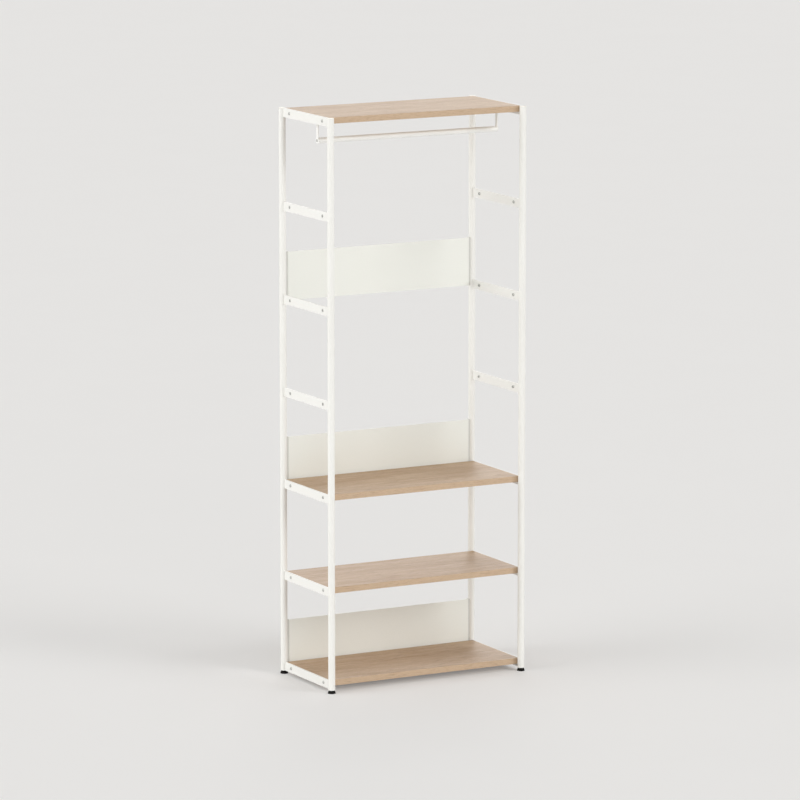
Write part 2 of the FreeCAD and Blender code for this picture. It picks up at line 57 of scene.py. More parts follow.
# Points closer than this are one point.
TINY = 1e-6
SIDES = {"left": -1, "right": 1}
CORNERS = ("left_front", "left_back", "right_front", "right_back")
SHELVES = ("top_shelf", "middle_shelf", "lower_shelf", "bottom_shelf")
PANELS = ("upper", "middle", "lower")
RUNGS = range(1, 8)
BARE_RUNGS = 3
RACK = "rack"

TUBE_WALL = 1.5 * MM
PLUG_CLEARANCE = 0.05 * MM
RUNG_THICKNESS = 4 * MM
RUNG_HOLE_SPACING = 255 * MM
INSERT_FLANGE = 1 * MM
SHEET_THICKNESS = 1.5 * MM
WOOD_SCREW_SPACING = 14 * MM
PAD_TOP_RADIUS = 10.75 * MM
STEM_CLEARANCE = 0.1 * MM
STEM_END_GAP = 0.3 * MM

Screw = namedtuple("Screw", "name head_radius head_height shank_radius shank_length drive")
SHELF_SCREW = Screw("shelf_screw", 6 * MM, 2.8 * MM, 3 * MM, 24 * MM, "hexagon")
PANEL_SCREW = Screw("panel_screw", 4.75 * MM, 3 * MM, 2.5 * MM, 12 * MM, "cross")
RAIL_SCREW = Screw("rail_screw", 5 * MM, 2.5 * MM, 3 * MM, 18 * MM, "hexagon")
WOOD_SCREW = Screw("wood_screw", 3.75 * MM, 2.4 * MM, 2 * MM, 16 * MM, "cross")

# Sides of a round piece: a cap, a screw or insert, and a bore's cutter.
CAP_SIDES = 64
SCREW_SIDES = 48
BORE_SIDES = 32

# Repeats per metre along, across and through a board, for each part of the oak's figure.
STREAK_SCALE = (2.6, 21, 21)
BAND_SCALE = (9, 75, 110)
FLECK_SCALE = (24, 110, 260)
PORE_SCALE = (50, 1000, 1000)

# Where the camera stands, about 19 m from the rack, and its sensor's width in millimetres.
CAMERA_PLACE = (-9.067, -16.732, 4.320)
SENSOR_WIDTH = 36
VIEW_DEPTH = 500
FLOOR_SIZE = 160

# Each lamp's spread in degrees and the direction from the rack to it.
LAMPS = {
    "key": (28, (0.55, -0.835, 0.42)),
    "fill": (38, (-0.26, -0.97, 0.26)),
    "side": (50, (-0.95, 0.1, 0.26)),
    "rim": (25, (0.5, 0.87, 0.49)),
}

# A colour Mix node's two inputs and its output, by number.
MIX_A = 6
MIX_B = 7
MIX_OUT = 2


def linear(code):
    """A colour written as an sRGB hex value, as linear red, green and blue."""
    parts = [int(code[start:start + 2], 16) / 255 for start in (1, 3, 5)]
    return tuple(part / 12.92 if part <= 0.04045 else ((part + 0.055) / 1.055) ** 2.4 for part in parts)


def hue(name, code, note):
    return FloatVectorProperty(name=name, description=note, default=linear(code), size=3, subtype="COLOR",
                               min=0, max=1)


def length(name, millimetres, note):
    return FloatProperty(name=name, description=note, default=millimetres * MM, min=0, unit="LENGTH",
                         subtype="DISTANCE", precision=5)


class RackColours(bpy.types.PropertyGroup):
    """The colours of the rack's finishes and of the studio."""
    coat: hue("Powder coat", "#ecece8", "Warm white coat of the tubes and rungs")
    # Painted shade: the tubes' coat as drawn in the dips of its peel.
    coat_shade: hue("Powder coat, shaded", "#e8e7e2", "The coat in the dips of its grain")
    # Painted light: the rail's coat is drawn lighter than the tubes' coat, standing in for light that the top
    # board keeps off it.
    rail: hue("Rail coat", "#f9faf7", "Whiter coat of the hanging rail and its brackets")
    sheet: hue("Sheet coat", "#eaebe5", "Warm white coat of the back panels")
    # Painted shade: the panels' coat as drawn in the dips of its peel.
    sheet_shade: hue("Sheet coat, shaded", "#e6e7e0", "The panels' coat in the dips of its grain")
    oak: hue("Oak", "#c6ac90", "Pale early wood of the boards")
    oak_late: hue("Oak, late wood", "#ac8d6d", "Darker late wood between the pale bands")
    oak_pore: hue("Oak pores", "#80644c", "Open pores along the grain")
    oak_edge: hue("Oak edge band", "#c2a98e", "Edge band along the boards' fronts and backs")
    zinc: hue("Zinc plate", "#c8c9c5", "Plated screws and foot stems")
    white_plastic: hue("White plastic", "#efece3", "Caps and rail plugs")
    black_plastic: hue("Black plastic", "#0f0d0a", "Levelling feet and their plugs")
    # The strips' grey is partly their own colour and partly painted shade for the dark groove between panel
    # and tube.
    strip: hue("Grey strip", "#c9c8c3", "Soft strips between the panels and the tubes")
    floor: hue("Floor", "#f6f5f4", "Studio floor")
    air: hue("Studio walls", "#e6e5e3", "Pale studio round the rack")


class RackFittings(bpy.types.PropertyGroup):
    """The sizes of the small fittings that are finer here than in the solid model."""
    head_round: length("Head edge", 0.35, "Rounding of a screw head's edge")
    socket_depth: length("Socket depth", 1.4, "Depth of the drive in a screw head")
    thread_pitch: length("Foot thread pitch", 1.25, "Pitch of the feet's M8 stems")
    thread_depth: length("Foot thread depth", 0.65, "Depth of the stem's thread")
    grip_count: IntProperty(name="Foot grips", description="Ribs round a levelling foot", default=20, min=6)
    grip_depth: length("Foot grip depth", 0.45, "How far a rib stands out of the foot")
    cap_dish: length("Cap dish", 0.3, "Shallow hollow in the top of a cap")


class RackStudio(bpy.types.PropertyGroup):
    """The camera and the lamps."""
    lens: FloatProperty(name="Lens", description="Focal length on a 36 mm sensor", default=238.95, min=20,
                        unit="CAMERA")
    turn: FloatProperty(name="Camera azimuth", description="Seen from the front left",
                        default=math.radians(-28.424), subtype="ANGLE")
    drop: FloatProperty(name="Camera tilt", description="How far the camera looks down",
                        default=math.radians(9.86), subtype="ANGLE")
    key: FloatProperty(name="Key", description="Strength of the lamp at the front right", default=1.2, min=0)
    fill: FloatProperty(name="Fill", description="Strength of the lamp at the front left", default=0.45,
                        min=0)
    side: FloatProperty(name="Side", description="Strength of the lamp at the left", default=1.86, min=0)
    rim: FloatProperty(name="Rim", description="Strength of the lamp behind the rack", default=0.465, min=0)
    around: FloatProperty(name="Around", description="Strength of the light from all round", default=0.56,
                          min=0)
    haze: FloatProperty(name="Shadow fill", description="How far the floor's shadows are lifted",
                        default=0.24, min=0, max=1)


# Selecting, starting and placing pieces.

def select_only(*pieces):
    """Nothing but these pieces is selected, and the first is active."""
    if bpy.context.object and bpy.context.object.mode != "OBJECT":
        bpy.ops.object.mode_set(mode="OBJECT")
    bpy.ops.object.select_all(action="DESELECT")
    for piece in pieces:
        piece.select_set(True)
    bpy.context.view_layer.objects.active = pieces[0] if pieces else None


def start_rod(name, sides, radius, low, high):
    """A round bar along Z from low to high, in edit mode and with nothing selected."""
    select_only()
    bpy.ops.mesh.primitive_cylinder_add(vertices=sides, radius=radius, depth=high - low,
                                        location=(0, 0, (low + high) / 2))
    piece = bpy.context.object
    piece.name = name
    bpy.ops.object.transform_apply(location=True, rotation=True, scale=True)
    bpy.ops.object.mode_set(mode="EDIT")
    bpy.ops.mesh.select_mode(type="FACE")
    bpy.ops.mesh.select_all(action="DESELECT")
    return piece


def pick(piece, wanted):
    """Select the faces whose middle and normal pass a test."""
    bpy.ops.mesh.select_all(action="DESELECT")
    mesh = bmesh.from_edit_mesh(piece.data)
    count = 0
    for face in mesh.faces:
        if wanted(face.calc_center_median(), face.normal):
            face.select_set(True)
            count += 1
    bmesh.update_edit_mesh(piece.data)
    if not count:
        raise RuntimeError("no face of %s was picked" % piece.name)


def pick_top(piece):
    """Select the faces on top of the piece."""
    mesh = bmesh.from_edit_mesh(piece.data)
    height = max(vertex.co.z for vertex in mesh.verts)
    pick(piece, lambda middle, normal: normal.z > 0.9 and middle.z > height - TINY)


def pull(rise, size=1.0):
    """Extrude the selected faces up by rise and scale their rim."""
    bpy.ops.mesh.extrude_region_move(TRANSFORM_OT_translate={"value": (0, 0, rise)})
    if size != 1.0:
        bpy.ops.transform.resize(value=(size, size, 1))


def apply_modifier(piece, kind, **settings):
    """Add a modifier with its settings and apply it."""
    select_only(piece)
    modifier = piece.modifiers.new(kind.title(), kind)
    for name, value in settings.items():
        setattr(modifier, name, value)
    bpy.ops.object.modifier_apply(modifier=modifier.name)


def close_shape(piece, angle=35):
    """Leave edit mode with merged, outward faces, shaded smooth but for its sharp edges."""
    select_only(piece)
    bpy.ops.object.mode_set(mode="EDIT")
    bpy.ops.mesh.select_all(action="SELECT")
    bpy.ops.mesh.remove_doubles(threshold=TINY)
    bpy.ops.mesh.normals_make_consistent(inside=False)
    bpy.ops.object.mode_set(mode="OBJECT")
    bpy.ops.object.shade_smooth_by_angle(angle=math.radians(angle))
    return piece


def copy_to(source, name, matrix):
    """A copy of a piece with its own mesh, moved in its mesh."""
    piece = source.copy()
    piece.data = source.data.copy()
    piece.name = name
    piece.data.transform(matrix)
    bpy.context.scene.collection.objects.link(piece)
    return piece


def join_as(name, pieces):
    """Several loose solids as one piece."""
    select_only(*pieces)
    bpy.ops.object.join()
    piece = bpy.context.object
    piece.name = name
    piece.data.name = name
    return piece


def discard(piece):
    bpy.data.objects.remove(piece)


def facing(direction):
    """The turn that points +Z along a direction."""
    return Vector(direction).to_track_quat("Z", "Y").to_matrix().to_4x4()


def paint(piece, material):
    """Give the whole piece one material."""
    piece.data.materials.clear()
    piece.data.materials.append(material)


def middle_of(node):
    low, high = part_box(node)
    return (low + high) / 2


# Materials.

def connect(owner, node, inputs):
    """Give a node its inputs: each is a value, or a socket to link."""
    for socket, value in inputs.items():
        if isinstance(value, bpy.types.NodeSocket):
            owner.node_tree.links.new(value, node.inputs[socket])
        else:
            node.inputs[socket].default_value = value


def add_node(owner, kind, inputs=None, **settings):
    """One node of a material or world, with its inputs and its properties."""
    node = owner.node_tree.nodes.new(kind)
    for name, value in settings.items():
        setattr(node, name, value)
    connect(owner, node, inputs or {})
    return node


def seen_directly(owner):
    """1 where the camera or a gloss sees the surface, and 0 for the light that it throws."""
    path = add_node(owner, "ShaderNodeLightPath")
    seen = add_node(owner, "ShaderNodeMath",
                    {0: path.outputs["Is Camera Ray"], 1: path.outputs["Is Glossy Ray"]}, operation="MAXIMUM")
    return seen.outputs[0]


def new_material(name):
    """An empty material with a Principled shader on its output."""
    material = bpy.data.materials.new(name)
    material.use_nodes = True
    material.node_tree.nodes.clear()
    shader = add_node(material, "ShaderNodeBsdfPrincipled")
    add_node(material, "ShaderNodeOutputMaterial", {"Surface": shader.outputs[0]})
    return material, shader


def rgba(colour):
    return (*colour, 1.0)


def powder_coated_steel(name, light, shade, grain_mm, dent):
    """Steel tube, bar or sheet in satin polyester powder: an even warm white skin whose fine orange peel
    softens every highlight, with painted shade in its dips."""
    material, shader = new_material(name)
    place = add_node(material, "ShaderNodeTexCoord").outputs["Object"]
    # The real peel is about 1 mm from crest to crest. It is drawn coarser, so that it shows at all.
    peel = add_node(material, "ShaderNodeTexNoise",
                    {"Vector": place, "Scale": 1 / (grain_mm * MM), "Detail": 3.0, "Roughness": 0.55})
    drift = add_node(material, "ShaderNodeTexNoise", {"Vector": place, "Scale": 3.5, "Detail": 2.0})
    unshaded_share = add_node(material, "ShaderNodeMath", {0: peel.outputs["Fac"], 1: drift.outputs["Fac"]},
                     operation="MULTIPLY")
    tone = add_node(material, "ShaderNodeMapRange",
                    {"Value": unshaded_share.outputs[0], "From Min": 0.0, "From Max": 0.5})
    # Painted shade: the dips of the peel take the shaded colour, more so in broad patches where the drift is
    # low.
    colour = add_node(material, "ShaderNodeMix",
                      {0: tone.outputs[0], MIX_A: rgba(shade), MIX_B: rgba(light)}, data_type="RGBA")
    rough = add_node(material, "ShaderNodeMapRange",
                     {"Value": peel.outputs["Fac"], "To Min": 0.5, "To Max": 0.38})
    bump = add_node(material, "ShaderNodeBump",
                    {"Height": peel.outputs["Fac"], "Strength": dent, "Distance": 0.2 * MM})
    connect(material, shader, {"Base Color": colour.outputs[MIX_OUT], "Roughness": rough.outputs[0],
                               "Normal": bump.outputs[0], "IOR": 1.5})
    return material


def lacquered_oak(name, colours, half_depth):
    """Rift-cut oak veneer under a matt clear lacquer: pale early wood with long darker late-wood streaks,
    open pores drawn out along the grain, three leaves to a board and a paler band on its long edges."""
    material, shader = new_material(name)
    place = add_node(material, "ShaderNodeTexCoord").outputs["Object"]
    parts = add_node(material, "ShaderNodeSeparateXYZ", {0: place})
    # Leaves of veneer, 115 mm wide, each with its own figure. Height tells the boards apart.
    leaf = add_node(material, "ShaderNodeMath", {0: parts.outputs["Y"], 1: 1 / (115 * MM), 2: 0.5},
                    operation="MULTIPLY_ADD")
    leaf = add_node(material, "ShaderNodeMath", {0: leaf.outputs[0]}, operation="FLOOR")
    along = add_node(material, "ShaderNodeMath", {0: parts.outputs["Z"], 1: 7.3, 2: leaf.outputs[0]},
                     operation="MULTIPLY_ADD")
    jump = add_node(material, "ShaderNodeCombineXYZ", {"X": along.outputs[0], "Z": leaf.outputs[0]})
    moved = add_node(material, "ShaderNodeVectorMath", {0: place, 1: jump.outputs[0]}, operation="ADD")
    streak_place = add_node(material, "ShaderNodeMapping",
                            {"Vector": moved.outputs[0], "Scale": STREAK_SCALE})
    streak = add_node(material, "ShaderNodeTexNoise",
                      {"Vector": streak_place.outputs[0], "Scale": 1.0, "Detail": 4.0, "Roughness": 0.6})
    # Growth bands are about 3 mm in rift-cut oak. They are drawn at 13 mm, so that they show.
    band_place = add_node(material, "ShaderNodeMapping", {"Vector": moved.outputs[0], "Scale": BAND_SCALE})
    band = add_node(material, "ShaderNodeTexNoise",
                    {"Vector": band_place.outputs[0], "Scale": 1.0, "Detail": 5.0, "Roughness": 0.7,
                     "Distortion": 0.5})
    # Short dark flecks, where late wood and pores lie close. Real ones are 3 mm wide, these 9 mm.
    fleck_place = add_node(material, "ShaderNodeMapping", {"Vector": moved.outputs[0], "Scale": FLECK_SCALE})
    fleck = add_node(material, "ShaderNodeTexNoise",
                     {"Vector": fleck_place.outputs[0], "Scale": 1.0, "Detail": 2.0, "Roughness": 0.6})
    fleck_depth = add_node(material, "ShaderNodeMapRange",
                           {"Value": fleck.outputs["Fac"], "From Min": 0.55, "From Max": 0.72,
                            "To Max": 0.42})
    # Pores are 0.3 mm wide. They are drawn about 1 mm wide and 20 mm long.
    pore_place = add_node(material, "ShaderNodeMapping", {"Vector": moved.outputs[0], "Scale": PORE_SCALE})
    pore = add_node(material, "ShaderNodeTexNoise",
                    {"Vector": pore_place.outputs[0], "Scale": 1.0, "Detail": 1.0})
    pore_depth = add_node(material, "ShaderNodeMapRange",
                          {"Value": pore.outputs["Fac"], "From Min": 0.56, "From Max": 0.72, "To Max": 0.5})
    pore_depth = add_node(material, "ShaderNodeMath", {0: pore_depth.outputs[0], 1: fleck_depth.outputs[0]},
                          operation="MAXIMUM")
    tone = add_node(material, "ShaderNodeMath", {0: streak.outputs["Fac"], 1: band.outputs["Fac"]},
                    operation="ADD")
    tone = add_node(material, "ShaderNodeMapRange",
                    {"Value": tone.outputs[0], "From Min": 0.7, "From Max": 1.26})
    face = add_node(material, "ShaderNodeMix",
                    {0: tone.outputs[0], MIX_A: rgba(colours.oak_late), MIX_B: rgba(colours.oak)},
                    data_type="RGBA")
    # The edge band, 0.6 mm thick, and the hairline where it meets the veneer.
    reach = add_node(material, "ShaderNodeMath", {0: parts.outputs["Y"]}, operation="ABSOLUTE")
    edge = add_node(material, "ShaderNodeMath", {0: reach.outputs[0], 1: half_depth - 0.6 * MM},
                    operation="GREATER_THAN")
    edge_tone = add_node(material, "ShaderNodeMix",
                         {0: tone.outputs[0], MIX_A: rgba(colours.oak), MIX_B: rgba(colours.oak_edge)},
                         data_type="RGBA")
    wood = add_node(material, "ShaderNodeMix",
                    {0: edge.outputs[0], MIX_A: face.outputs[MIX_OUT], MIX_B: edge_tone.outputs[MIX_OUT]},
                    data_type="RGBA")
    joint = add_node(material, "ShaderNodeMath",
                     {0: reach.outputs[0], 1: half_depth - 0.8 * MM, 2: 0.3 * MM}, operation="COMPARE")
    joint = add_node(material, "ShaderNodeMath", {0: joint.outputs[0], 1: 0.3}, operation="MULTIPLY")
    dark = add_node(material, "ShaderNodeMath", {0: joint.outputs[0], 1: pore_depth.outputs[0]},
                    operation="MAXIMUM")
    colour = add_node(material, "ShaderNodeMix",
                      {0: dark.outputs[0], MIX_A: wood.outputs[MIX_OUT], MIX_B: rgba(colours.oak_pore)},
                      data_type="RGBA")
    rough = add_node(material, "ShaderNodeMapRange",
                     {"Value": band.outputs["Fac"], "To Min": 0.56, "To Max": 0.44})
    height = add_node(material, "ShaderNodeMath", {0: band.outputs["Fac"], 1: pore_depth.outputs[0]},
                      operation="SUBTRACT")
    bump = add_node(material, "ShaderNodeBump",
                    {"Height": height.outputs[0], "Strength": 0.25, "Distance": 0.2 * MM})
    # Dead-matt lacquer: its flatting agent scatters away part of the sheen at a low angle.
    connect(material, shader, {"Base Color": colour.outputs[MIX_OUT], "Roughness": rough.outputs[0],
                               "Normal": bump.outputs[0], "IOR": 1.5, "Specular IOR Level": 0.3})
    return material


def zinc_plated_steel(name, colour):
    """Steel fasteners, electroplated with zinc and passivated: a bluish grey metal, dull, with a faint
    crystal mottling in its shine."""
    material, shader = new_material(name)
    place = add_node(material, "ShaderNodeTexCoord").outputs["Object"]
    # Plating crystals are too fine to see. The mottling is drawn at 1.5 mm.
    crystal = add_node(material, "ShaderNodeTexVoronoi", {"Vector": place, "Scale": 1 / (1.5 * MM)})
    haze = add_node(material, "ShaderNodeTexNoise", {"Vector": place, "Scale": 1 / (4 * MM), "Detail": 2.0})
    dull = tuple(part * 0.8 for part in colour)
    tint = add_node(material, "ShaderNodeMix",
                    {0: haze.outputs["Fac"], MIX_A: rgba(dull), MIX_B: rgba(colour)}, data_type="RGBA")
    rough = add_node(material, "ShaderNodeMapRange",
                     {"Value": crystal.outputs["Distance"], "To Min": 0.34, "To Max": 0.48})
    connect(material, shader, {"Base Color": tint.outputs[MIX_OUT], "Roughness": rough.outputs[0],
                               "Metallic": 1.0})
    return material


def moulded_plastic(name, colour, roughness, shine=0.5):
    """Plastic moulded or extruded in a spark-eroded tool: a fine matt grain with a slightly glossier skin and
    a painted highlight on the crests, and an otherwise even colour. A deep grain swallows part of the shine."""
    material, shader = new_material(name)
    place = add_node(material, "ShaderNodeTexCoord").outputs["Object"]
    # The tool's grain is about 0.3 mm. It is drawn at 0.8 mm.
    grain = add_node(material, "ShaderNodeTexNoise",
                     {"Vector": place, "Scale": 1 / (0.8 * MM), "Detail": 2.0})
    # Painted highlight: the crests of the grain are drawn a little lighter than the plastic's colour.
    crest = tuple(min(1.0, part * 1.06 + 0.002) for part in colour)
    tint = add_node(material, "ShaderNodeMix",
                    {0: grain.outputs["Fac"], MIX_A: rgba(colour), MIX_B: rgba(crest)}, data_type="RGBA")
    rough = add_node(material, "ShaderNodeMapRange",
                     {"Value": grain.outputs["Fac"], "To Min": roughness + 0.06, "To Max": roughness - 0.06})
    bump = add_node(material, "ShaderNodeBump",
                    {"Height": grain.outputs["Fac"], "Strength": 0.2, "Distance": 0.05 * MM})
    connect(material, shader, {"Base Color": tint.outputs[MIX_OUT], "Roughness": rough.outputs[0],
                               "Normal": bump.outputs[0], "IOR": 1.49, "Specular IOR Level": shine})
    return material


def painted_floor(name, colour, air, haze):
    """A studio sweep in flat emulsion: even, with no shine and a barely visible roller mottling. To the
    camera its shadows are lifted towards the pale studio, and the light that it throws stays plain."""
    material, shader = new_material(name)
    output = next(node for node in material.node_tree.nodes if node.type == "OUTPUT_MATERIAL")
    share = add_node(material, "ShaderNodeMath", {0: seen_directly(material), 1: haze}, operation="MULTIPLY")
    glow = add_node(material, "ShaderNodeEmission", {"Color": rgba(air), "Strength": 1.0})
    mix = add_node(material, "ShaderNodeMixShader",
                   {0: share.outputs[0], 1: shader.outputs[0], 2: glow.outputs[0]})
    connect(material, output, {"Surface": mix.outputs[0]})
    place = add_node(material, "ShaderNodeTexCoord").outputs["Object"]
    mottle = add_node(material, "ShaderNodeTexNoise", {"Vector": place, "Scale": 2.0, "Detail": 3.0})
    worn = tuple(part * 0.985 for part in colour)
    tint = add_node(material, "ShaderNodeMix",
                    {0: mottle.outputs["Fac"], MIX_A: rgba(worn), MIX_B: rgba(colour)}, data_type="RGBA")
    connect(material, shader, {"Base Color": tint.outputs[MIX_OUT], "Roughness": 1.0,
                               "Specular IOR Level": 0.0})
    return material


# Small fittings.

def model_cap(fittings, tube_radius, bore_radius, rim):
    """The cap of an upright: a plug, a rim flush with the tube and a shallow dish. Z = 0 is the tube's
    end."""
    plug_length = 12 * MM
    cap = start_rod("cap", CAP_SIDES, bore_radius, -plug_length, 0)
    seat = tube_radius - 0.2 * MM
    pick_top(cap)
    pull(0, seat / bore_radius)
    pull(0.2 * MM, tube_radius / seat)
    pull(rim - 0.8 * MM)
    pull(0.35 * MM, 0.985)
    pull(0.25 * MM, 0.96)
    bpy.ops.mesh.inset(thickness=1.2 * MM, depth=0)
    pull(-fittings.cap_dish, 0.95)
    return close_shape(cap)


def model_pad(fittings, radius, top_radius, height, bore_radius, bore_floor):
    """A levelling foot: a plain rim on the floor, a ribbed cone for the fingers and a bore for the stem."""
    rim = 3 * MM
    recess = 0.8 * MM
    sides = 2 * fittings.grip_count
    core = radius - fittings.grip_depth
    pad = start_rod("pad", sides, radius, 0, rim)
    pick_top(pad)
    pull(0.4 * MM, core / radius)
    pull(height - rim - 1.2 * MM, (top_radius - 0.2 * MM) / core)
    pull(0.5 * MM, 0.98)
    pull(0.3 * MM, 0.95)
    bpy.ops.mesh.inset(thickness=top_radius - bore_radius - 2.4 * MM, depth=0)
    pull(-recess, 0.94)
    rim_of_bore = min((vertex.co.xy.length for vertex in bmesh.from_edit_mesh(pad.data).verts
                       if vertex.select), default=bore_radius)
    pull(0, bore_radius / rim_of_bore)
    pull(bore_floor - (height - recess))
    step = 2 * math.pi / sides
    pick(pad, lambda middle, normal: rim < middle.z < height - 1.5 * MM and abs(normal.z) < 0.6
         and middle.xy.length > top_radius * 0.85
         and math.floor(math.atan2(middle.y, middle.x) / step) % 2 == 0)
    bpy.ops.mesh.inset(thickness=0.25 * MM, depth=fittings.grip_depth * 0.9, use_individual=True)
    pick(pad, lambda middle, normal: normal.z < -0.9 and middle.z < 1e-5)
    bpy.ops.mesh.inset(thickness=2.5 * MM, depth=0)
    pull(0.6 * MM, 0.96)
    return close_shape(pad, 40)


def model_stem(fittings, radius, low, high):
    """The threaded stem of a foot: one unbroken thread, cut off square at both ends."""
    select_only()
    pitch = fittings.thread_pitch
    root = radius - fittings.thread_depth
    flat = pitch / 8
    profile = [(root, 0, 0), (root, 0, flat), (radius, 0, pitch / 2), (radius, 0, pitch / 2 + flat),
               (root, 0, pitch)]
    mesh = bpy.data.meshes.new("stem")
    mesh.from_pydata(profile, [(step, step + 1) for step in range(len(profile) - 1)], [])
    stem = bpy.data.objects.new("stem", mesh)
    bpy.context.scene.collection.objects.link(stem)
    turns = math.ceil((high - low) / pitch) + 2
    mesh.transform(Matrix.Translation((0, 0, low - pitch)))
    apply_modifier(stem, "SCREW", axis="Z", screw_offset=pitch, iterations=turns, steps=24, render_steps=24,
                   use_merge_vertices=False)
    bpy.ops.object.mode_set(mode="EDIT")
    bpy.ops.mesh.select_all(action="SELECT")
    bpy.ops.mesh.remove_doubles(threshold=TINY)
    for height, side in ((low, -1), (high, 1)):
        bpy.ops.mesh.select_all(action="SELECT")
        bpy.ops.mesh.bisect(plane_co=(0, 0, height), plane_no=(0, 0, side), use_fill=True, clear_outer=True)
    return close_shape(stem, 50)


def model_screw(fittings, kind):
    """A screw standing on Z = 0 under its domed head, with a hexagon socket or a cross recess."""
    head_radius, head_height = kind.head_radius, kind.head_height
    screw = start_rod(kind.name, SCREW_SIDES, kind.shank_radius, -kind.shank_length, 0)
    pick(screw, lambda middle, normal: normal.z < -0.9)
    pull(-0.6 * MM, 0.8)
    pick_top(screw)
    pull(0, head_radius / kind.shank_radius)
    wall = head_height * 0.3
    pull(wall - fittings.head_round)
    pull(fittings.head_round, 1 - 0.3 * fittings.head_round / head_radius)
    # The dome: each step's rise and the radius that it ends at, as shares of the head's.
    size = 1.0
    for rise, radius in ((0.3, 0.93), (0.22, 0.8), (0.12, 0.62), (0.06, 0.45)):
        pull(rise * head_height, radius / size)
        size = radius
    close_shape(screw, 30)
    socket_floor = head_height - fittings.socket_depth
    if kind.drive == "hexagon":
        cutters = [start_rod("cutter", 6, head_radius * 0.4, socket_floor, head_height * 2)]
    else:
        cutters = []
        for turn in (0, 90):
            cutter = start_rod("cutter", 4, head_radius * 0.62, socket_floor, head_height * 2)
            bpy.ops.mesh.select_all(action="SELECT")
            bpy.ops.transform.resize(value=(1, 0.2, 1))
            select_only(cutter)
            cutter.data.transform(Matrix.Rotation(math.radians(turn), 4, "Z"))
            cutters.append(cutter)
    for cutter in cutters:
        apply_modifier(screw, "BOOLEAN", operation="DIFFERENCE", object=cutter, solver="EXACT")
        discard(cutter)
    return close_shape(screw, 30)


def model_insert(flange, flange_height, plate, radius, bore, depth):
    """A riveted threaded insert: thin flange, barrel, the bulge upset behind the plate and a threaded
    bore right through. Z = 0 is the plate's outer face."""
    insert = start_rod("insert", SCREW_SIDES, radius, -plate, 0)
    pick_top(insert)
    pull(0, flange / radius)
    pull(flange_height - 0.3 * MM)
    pull(0.3 * MM, 1 - 0.3 * MM / flange)
    pick(insert, lambda middle, normal: normal.z < -0.9 and middle.z < -plate + TINY)
    bulge = radius + 1 * MM
    # The bulge behind the plate and the barrel after it: each step's length and the radius that it ends at.
    barrel = ((0, radius + 0.6 * MM), (0.7 * MM, bulge), (1.6 * MM, bulge), (0.7 * MM, radius - 0.3 * MM),
              (depth - plate - 3.4 * MM, radius), (0.4 * MM, radius - 0.4 * MM))
    size = radius
    for drop, wanted in barrel:
        pull(-drop, wanted / size)
        size = wanted
    close_shape(insert, 30)
    # The thread is cut as rings, half a pitch from crest to root.
    pitch = 1 * MM
    thread_root = bore + 0.45 * MM
    cutter = start_rod("cutter", BORE_SIDES, bore, -depth - pitch, -depth - pitch / 2)
    pick_top(cutter)
    size = bore
    for turn in range(2 * math.ceil((depth + flange_height) / pitch) + 3):
        wanted = bore if turn % 2 else thread_root
        pull(pitch / 2, wanted / size)
        size = wanted
    close_shape(cutter, 30)
    apply_modifier(insert, "BOOLEAN", operation="DIFFERENCE", object=cutter, solver="EXACT")
    discard(cutter)
    return close_shape(insert, 30)


def set_of(name, source, places):
    """Copies of one fitting, each seated at a point and facing a direction, as one piece."""
    copies = [copy_to(source, name, Matrix.Translation(point) @ facing(direction))
              for point, direction in places]
    return join_as(name, copies)


# Studio.

def place_lamps(studio):
    """The soft lamps, each as strong as its setting says."""
    for name, (spread, direction) in LAMPS.items():
        bpy.ops.object.light_add(type="SUN")
        lamp = bpy.context.object
        lamp.name = name + "_lamp"
        lamp.data.energy = getattr(studio, name)
        lamp.data.angle = math.radians(spread)
        lamp.matrix_world = facing(direction)


def studio_world(air, strength):
    """Even light from all round, and the pale studio itself where the camera or a gloss sees it."""
    world = bpy.data.worlds.new("studio")
    world.use_nodes = True
    world.node_tree.nodes.clear()
    seen = seen_directly(world)
    around = add_node(world, "ShaderNodeBackground", {"Color": rgba(air), "Strength": strength})
    backdrop = add_node(world, "ShaderNodeBackground", {"Color": rgba(air)})
    mix = add_node(world, "ShaderNodeMixShader",
                   {0: seen, 1: around.outputs[0], 2: backdrop.outputs[0]})
    add_node(world, "ShaderNodeOutputWorld", {"Surface": mix.outputs[0]})
    return world


def place_camera(studio):
    """The camera at the photo's angle."""
    bpy.ops.object.camera_add(location=CAMERA_PLACE)
    camera = bpy.context.object
    camera.name = "camera"
    camera.data.lens = studio.lens
    camera.data.sensor_width = SENSOR_WIDTH
    camera.data.clip_end = VIEW_DEPTH
    camera.rotation_euler = (math.pi / 2 - studio.drop, 0, studio.turn)
    return camera


# Operators.

def colours():
    return bpy.context.scene.rack_colours


def fittings():
    return bpy.context.scene.rack_fittings


def screw_zinc():
    """The zinc plate that all screws and inserts share, made by the first step that needs it."""
    name = "zinc_plated_screw"
    return bpy.data.materials.get(name) or zinc_plated_steel(name, colours().zinc)


class RACK_OT_coat_steel(bpy.types.Operator):
    """Powder coat on the tubes, rungs, hanging rail and its brackets"""
    bl_idname = "rack.coat_steel"
    bl_label = "Coat Tubes and Rungs"

    def execute(self, context):
        coat = powder_coated_steel("powder_coated_steel_tube", colours().coat, colours().coat_shade,
                                   grain_mm=3, dent=0.06)
        names = [corner + "_upright" for corner in CORNERS]
        names += ["%s_rung_%d" % (side, number) for side in SIDES for number in RUNGS]
        for name in names:
            paint(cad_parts[name], coat)
        # Painted light: the rail and its brackets get a lighter copy of the coat, with the tubes' coat in the
        # dips of its peel.
        rail_coat_painted_lighter = powder_coated_steel("powder_coated_rail", colours().rail, colours().coat,
                                     grain_mm=3, dent=0.06)
        for name in ("hanging_rail", "left_rail_bracket", "right_rail_bracket"):
            paint(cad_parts[name], rail_coat_painted_lighter)
        return {"FINISHED"}


